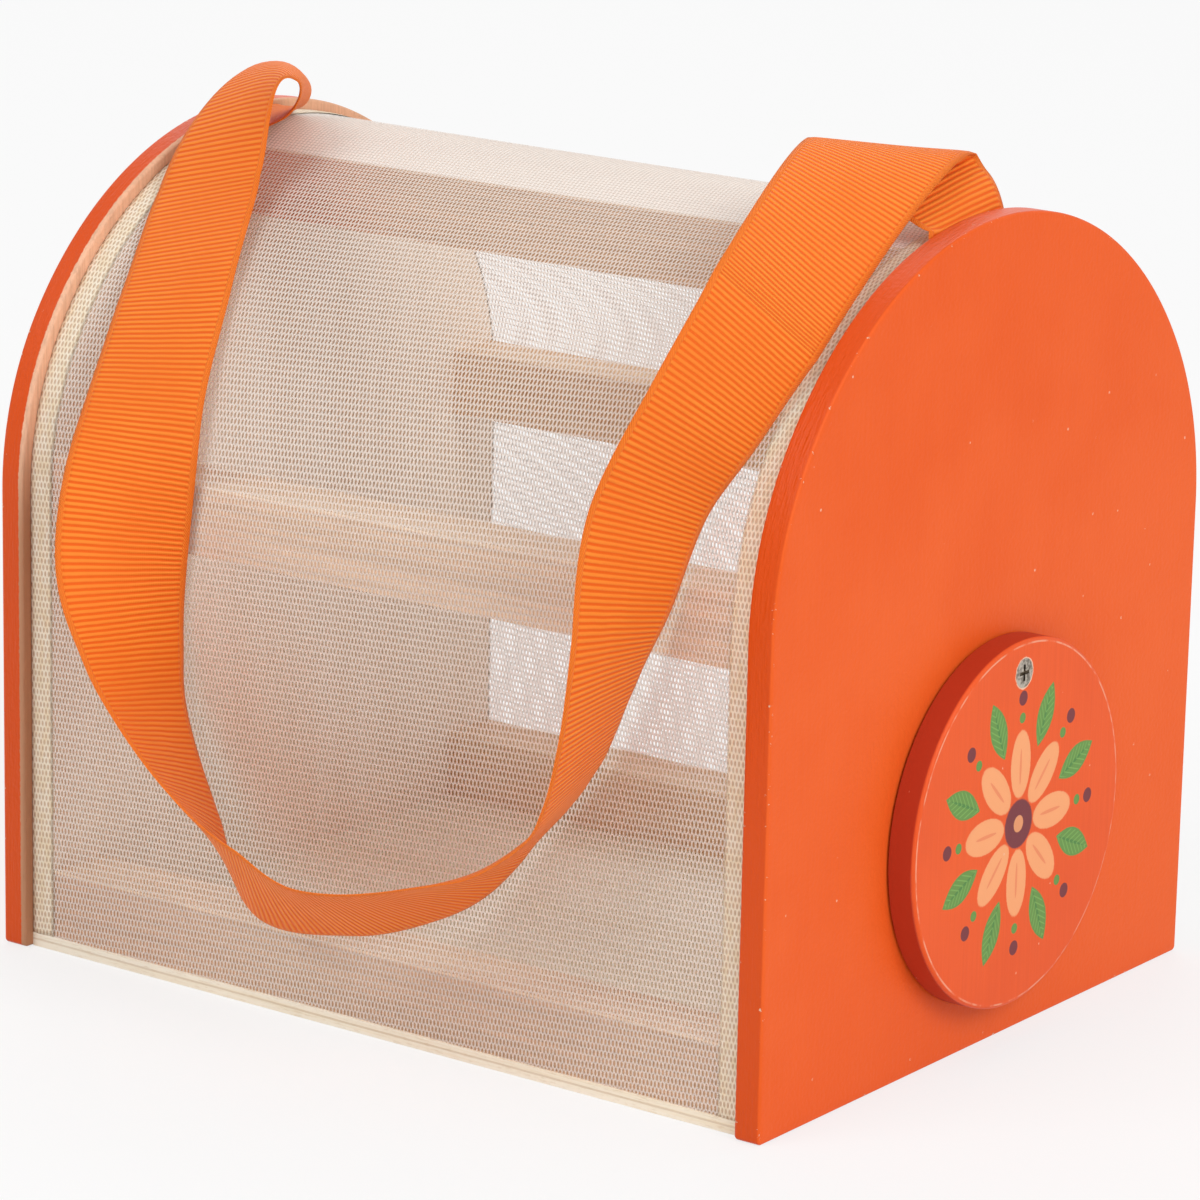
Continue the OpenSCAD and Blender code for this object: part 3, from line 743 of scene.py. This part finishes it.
def strap_rows():
    """Middles of the hanging part's rows and the directions across it, through the stations. The
    curve is Catmull and Rom's: each piece leaves a station along the line that joins the two
    beside it."""
    x, down, stand_off, lean, tip = np.array(strap_stations).T
    lean, tip = np.radians(lean), np.radians(tip)
    across = np.stack([np.cos(tip) * np.cos(lean), np.cos(tip) * np.sin(lean), np.sin(tip)], 1)
    turn_down = np.minimum(np.pi / 2 * down, np.pi / 2)
    on_crown = turn_down < meeting
    gap = 0.3 + ribbon_thick + stand_off + ribbon_wide * np.abs(across[:, 2]) / 2
    radius = np.where(on_crown, crown, shoulder) - inset + net_thick + gap
    s, c = np.sin(turn_down), np.cos(turn_down)
    middles = np.stack([x, np.where(on_crown, 0, -shoulder_y) - radius * s,
        np.where(on_crown, crown_z, side_high) + radius * c
        - np.maximum(down - 1, 0) * side_high], 1)
    widths = np.stack([across[:, 0], -across[:, 1] * c - across[:, 2] * s,
        across[:, 2] * c - across[:, 1] * s], 1)

    def smooth(list_of_rows, steps=14):
        ends = [2 * list_of_rows[0] - list_of_rows[1]], [2 * list_of_rows[-1] - list_of_rows[-2]]
        p = np.concatenate([ends[0], list_of_rows, ends[1]])
        t = np.linspace(0, 1, steps + 1)[:-1, None]
        a, b, c, d = (p[k:len(p) - 3 + k, None] for k in range(4))
        curve = (2 * b + (c - a) * t + (2 * a - 5 * b + 4 * c - d) * t ** 2
            + (3 * b - a - 3 * c + d) * t ** 3) / 2
        return np.concatenate([curve.reshape(-1, 3), list_of_rows[-1:]])

    middles, widths = smooth(middles), smooth(widths)
    run = unit(np.gradient(middles, axis=0))
    return middles, unit(widths - (widths * run).sum(1, keepdims=True) * run)


strap_middles, strap_across = strap_rows()
strap_long = np.linalg.norm(np.diff(strap_middles, axis=0), axis=1).sum()
print(f"the hanging part is {strap_long:.0f} mm long")

# %% [markdown]
# Grosgrain has thick ribs across it, a little over a millimetre apart, and a smooth woven
# edge on both sides. The ribs follow the ribbon wherever it turns, so they are drawn on its UV
# map: the first number is the length along it and the second the way across, in millimetres.

# %% Ribbed ribbon
def ribbon_finish():
    finish = Finish("ribbed_ribbon", Specular_IOR_Level=0.2, Sheen_Weight=0.08, Sheen_Roughness=0.4)
    cloth = finish.node("ShaderNodeUVMap", {"uv_map": "cloth"})
    parts = finish.node("ShaderNodeSeparateXYZ", inputs={0: cloth})
    u, v = (Value(finish, parts.socket.node.outputs[i]) for i in (0, 1))
    wander = finish.noise(finish.point(u * 0.05, v * 0.12, 0.0), 1.0, 2.0) - 0.5
    ribs = ((u + wander * 0.3) * (2 * np.pi / 1.08)).sine() * 0.5 + 0.5
    from_edge = v.low(ribbon_wide - v)
    selvedge = from_edge.step(1.3, 1.0)
    twill = ((u * 1.0 + from_edge * 1.5) * (2 * np.pi / 0.6)).sine() * 0.5 + 0.5
    threads = (v * (2 * np.pi / 0.35)).sine() * 0.5 + 0.5
    relief = ribs * (1 - selvedge) + (twill * 0.5 + 0.25) * selvedge
    groove = from_edge.step(1.55, 1.3) * from_edge.step(0.95, 1.15)
    cloud = finish.noise(finish.point(u, v, 0.0), 0.05, 3.0)
    # The ribbon is darker in the valleys between its ribs and lighter on their crests: painted shade and painted
    # highlight along the relief.
    colour = finish.mix(relief.step(0.0, 0.85), tone(236, 95, 14), tone(251, 141, 46))
    colour = finish.mix(cloud.step(0.35, 0.7) * 0.35, colour, tone(241, 109, 26))
    colour = finish.mix(selvedge * 0.4, colour, tone(248, 121, 34))
    finish.bump(relief - groove * 0.5 + threads * 0.06, 0.00019)
    return finish.show(Base_Color=colour, Roughness=0.66 - relief * 0.08)


def bridge(rows, lengths, there, heading, lean, handles, count=26):
    """Rows from a fold's last row to a row of the hanging part. Each thread is a cubic curve
    that starts along the fold's own direction, leaning towards its goal by a share, and arrives
    along the hanging part's direction. Its two handles are given in shares of the gap. The last
    number it returns is the ribbon's length where it arrives."""
    here = rows[-1]
    leave = unit(unit(rows[-1] - rows[-2]) * (1 - lean) + unit(there - here) * lean)
    span = np.linalg.norm(there - here, axis=1)[:, None]
    t = np.linspace(0, 1, count)[:, None, None]
    made = ((2 * t ** 3 - 3 * t ** 2 + 1) * here + (t ** 3 - 2 * t ** 2 + t) * span * handles[0] * leave
        + (3 * t ** 2 - 2 * t ** 3) * there + (t ** 3 - t ** 2) * span * handles[1] * heading)
    arrives = (lengths[-1] + np.linalg.norm(np.diff(made, axis=0), axis=2).sum(0)).mean()
    return made[1:-1], lengths[-1] + t[1:-1, :, 0] * (arrives - lengths[-1]), arrives


def handle():
    """The whole ribbon as one grid, closed on its thickness: rows along it, and across it one
    round trip from edge to edge on its outer face and back on its inner one."""
    columns = 25
    v = np.linspace(0, ribbon_wide, columns)
    start, start_long = end_rows(left_end, v)
    finish, finish_long = end_rows(right_end, v)
    middle = strap_middles[:, None] + (v - ribbon_wide / 2)[None, :, None] * strap_across[:, None]
    run = unit(np.gradient(strap_middles, axis=0))
    a, b = 12, len(middle) - 14
    near, near_long, near_to = bridge(start, start_long, middle[a], run[a], 0.05, (1.4, 1.2))
    far, far_long, far_to = bridge(finish, finish_long, middle[b, ::-1], -run[b], -0.02, (0.6, 0.6))
    strap_at = np.concatenate([[0], np.cumsum(np.linalg.norm(np.diff(strap_middles, axis=0), axis=1))])
    strap_at += near_to - strap_at[a]
    total = strap_at[b] + far_to
    finish, finish_long = np.concatenate([finish, far]), np.concatenate([finish_long, far_long])
    rows = np.concatenate([start, near, middle[a:b + 1], finish[::-1, ::-1]])
    u = np.concatenate([start_long, near_long, strap_at[a:b + 1, None] + 0 * v[None, :],
        (total - finish_long)[::-1, ::-1]])
    along, across = np.gradient(rows, axis=0), np.gradient(rows, axis=1)
    normal = unit(np.cross(along, across))
    half_thick = 0.3 * np.sqrt(np.clip(1 - np.abs(v / ribbon_wide * 2 - 1) ** 24, 0.1, 1))
    top = rows + normal * half_thick[None, :, None]
    low = rows - normal * half_thick[None, :, None]
    shell = np.concatenate([top, low[:, ::-1]], 1)
    uv = np.stack([np.concatenate([u, u[:, ::-1]], 1),
        np.broadcast_to(np.concatenate([v, v[::-1]]), (len(rows), 2 * columns))], -1)
    faces = grid_faces(len(rows), 2 * columns, across=True)
    last = (len(rows) - 1) * 2 * columns
    ends = [np.arange(2 * columns), last + np.arange(2 * columns)[::-1]]
    made = piece("handle_ribbon_cloth", shell, [*faces[:, ::-1], *ends], ribbon_finish(), body=None, uv=uv)
    print(f"ribbon {total:.0f} mm long out of its slots")
    return made


ribbon = handle()
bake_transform(ribbon)
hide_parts("left_ribbon_tail", "right_ribbon_tail", "handle_ribbon")

# %% [markdown]
# The round door is painted like the boards and carries a printed pattern. The print is worked
# out from distances: petals and leaves are repeated round the middle by folding the angle into
# one slice, and an ellipse or a pointed leaf is one short formula in that slice.

# %% The door and its print
def door_finish():
    finish = Finish("door_print", Specular_IOR_Level=0.34)
    x, y, z = finish.place()
    across, rising = y - 1.5, z - 43.9
    radius = (across ** 2.0 + rising ** 2.0).root()
    angle = rising.math("ARCTAN2", across)
    lines = fibres(finish, x, y, z, "z", 0.5)
    cloud = finish.noise(finish.point(x, y, z), 0.035, 3.0)
    colour = finish.mix((lines * 0.5 + cloud * 0.5).step(0.35, 0.7) * 0.8, tone(236, 90, 24), tone(227, 82, 18))
    chalk = finish.noise(finish.point(x, y, z), 1.5, 4.0, 0.75)
    front = x.step(95.5, 95.9)

    def slices(count, offset):
        """The angle folded into one of count slices, as distances along and across its middle."""
        size = 2 * np.pi / count
        part = (angle + offset + size / 2) % size - size / 2
        return radius * part.cosine(), radius * part.sine()

    def stamp(shape, ink, start=1.06, end=0.97, veil=1.0):
        nonlocal colour
        colour = finish.mix((shape + (chalk - 0.5) * 0.10).step(start, end) * front * veil, colour, ink)

    out, off = slices(8, 0.0)
    stamp((((out - 11.5) / 6.4) ** 2.0 + (off / 3.3) ** 2.0).root(), tone(245, 166, 112))
    stamp((((out - 11.0) / 3.4) ** 2.0 + (off / 0.35) ** 2.0).root(), tone(232, 128, 84), veil=0.7)
    stamp(radius / 4.6, tone(116, 46, 52))
    stamp(radius / 1.6, tone(245, 166, 112), veil=0.8)
    out, off = slices(8, np.pi / 8)
    leaf = abs(off) / 2.7 + ((out - 21.0) / 6.2) ** 2.0
    stamp(leaf, tone(100, 146, 68))
    stamp(abs(off) / 0.30 + ((out - 20.5) / 5.0) ** 2.0, tone(70, 128, 62), veil=0.8)
    veins = (((out * 1.0 - abs(off) * 1.2) * (2 * np.pi / 1.5)).sine()).step(0.55, 0.95) * leaf.step(0.95, 0.8)
    colour = finish.mix(veins * front * 0.45, colour, tone(146, 196, 104))
    out, off = slices(8, 0.0)
    stamp((((out - 24.2) / 1.4) ** 2.0 + (off / 1.4) ** 2.0).root(), tone(116, 46, 52))
    stamp((((out - 20.4) / 1.0) ** 2.0 + (off / 1.0) ** 2.0).root(), tone(100, 146, 68))

    # The door's side and back take a darker red: partly a thicker coat, partly painted shade.
    colour = finish.mix(x.step(95.6, 95.2) * 0.85, colour, tone(172, 48, 28))
    rim = abs(radius - 34.45).step(0.24, 0.08) * front * finish.noise(finish.point(x, y, z), 0.25, 3.0).step(0.38, 0.6)
    screw_ring = (across ** 2.0 + (z - 72.9) ** 2.0).root()
    broken = (screw_ring + (chalk - 0.5) * 0.8).step(3.15, 2.95) * front
    dots = finish.node("ShaderNodeTexVoronoi", inputs={"Vector": finish.point(x, y, z),
        "Scale": 0.17, "Randomness": 1.0}, output="Distance")
    speck = dots.step(0.055, 0.03) * chalk.step(0.45, 0.55)
    pale = (rim * 0.45 + broken * 0.9 + speck * 0.7).low(1.0)
    colour = finish.mix(pale, colour, tone(244, 206, 176))
    finish.bump(lines * 0.35 + chalk * 0.35 - pale * 0.4, 0.00006)
    return finish.show(Base_Color=colour, Roughness=0.47 + chalk * 0.1)


dress(door_finish(), "door_disc")

# %% [markdown]
# The small metal parts and the spacer behind the door keep their drawn shapes. The screw is dull, with cloudy dark
# dirt and fine scratches; the nails and staples are brighter steel with less dirt.

# %% Metal and plastic
def steel(name, colour, rough, dirt):
    finish = Finish(name, Metallic=1.0)
    x, y, z = finish.place()
    cloud = finish.noise(finish.point(x, y, z), 0.9, 3.0, 0.65)
    scratches = finish.noise(finish.point(x, y * 3.0, z * 0.4), 1.8, 3.0, 0.6)
    shade = finish.mix(cloud.step(0.42, 0.62) * dirt, tone(*colour), tone(88, 76, 64))
    finish.bump(scratches + cloud, 0.00005)
    return finish.show(Base_Color=shade, Roughness=rough + cloud * 0.18)


dress(steel("screw_steel", (196, 186, 172), 0.28, 0.75), "door_screw")
dress(steel("nail_steel", (200, 200, 198), 0.3, 0.3), "left_frame_nails", "right_frame_nails",
    "floor_nails", "left_ribbon_staple", "right_ribbon_staple")
nylon = Finish("nylon_washer", Roughness=0.42, Subsurface_Weight=0.1)
nx, ny, nz = nylon.place()
milky = nylon.noise(nylon.point(nx, ny, nz), 0.6, 2.0)
nylon.bump(milky, 0.00003)
dress(nylon.show(Base_Color=nylon.mix(milky, tone(240, 238, 230), tone(226, 222, 210))), "door_washer")

# %% [markdown]
# Last, the render uses the Standard view, so colours show about as they are written.

# %% Standard view
bpy.context.scene.view_settings.view_transform = "Standard"
